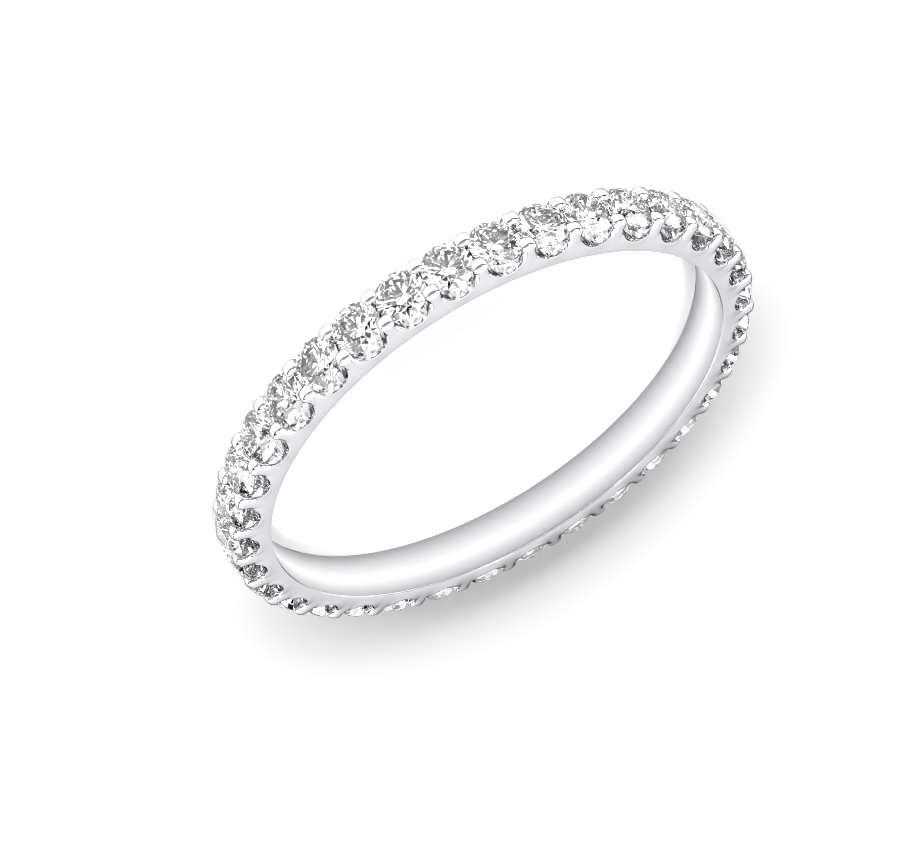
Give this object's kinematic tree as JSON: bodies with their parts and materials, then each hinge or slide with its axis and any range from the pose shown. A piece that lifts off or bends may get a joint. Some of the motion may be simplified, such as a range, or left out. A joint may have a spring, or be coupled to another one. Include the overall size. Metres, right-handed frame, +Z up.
{
  "type": "eternity ring",
  "caption": "Full eternity ring: a scalloped polished white-metal band set all the way round with round brilliants held by shared prongs on both edges.",
  "frame": {"origin": "on the finger hole's axis, in the plane that the ring rests on when it lies on its side", "axes": "+Z up along the finger hole's axis, +X through the middle of the first stone"},
  "size_m": [0.0198, 0.0198, 0.0019],
  "materials": {
    "white_gold": "high polish",
    "diamond": "polished facets"
  },
  "bodies": {
    "root": {"band": "white_gold", "stone_01": "diamond", "stone_02": "diamond", "stone_03": "diamond", "stone_04": "diamond", "stone_05": "diamond", "stone_06": "diamond", "stone_07": "diamond", "stone_08": "diamond", "stone_09": "diamond", "stone_10": "diamond", "stone_11": "diamond", "stone_12": "diamond", "stone_13": "diamond", "stone_14": "diamond", "stone_15": "diamond", "stone_16": "diamond", "stone_17": "diamond", "stone_18": "diamond", "stone_19": "diamond", "stone_20": "diamond", "stone_21": "diamond", "stone_22": "diamond", "stone_23": "diamond", "stone_24": "diamond", "stone_25": "diamond", "stone_26": "diamond", "stone_27": "diamond", "stone_28": "diamond", "stone_29": "diamond", "stone_30": "diamond", "stone_31": "diamond", "stone_32": "diamond", "stone_33": "diamond", "stone_34": "diamond"}
  },
  "joints": []
}
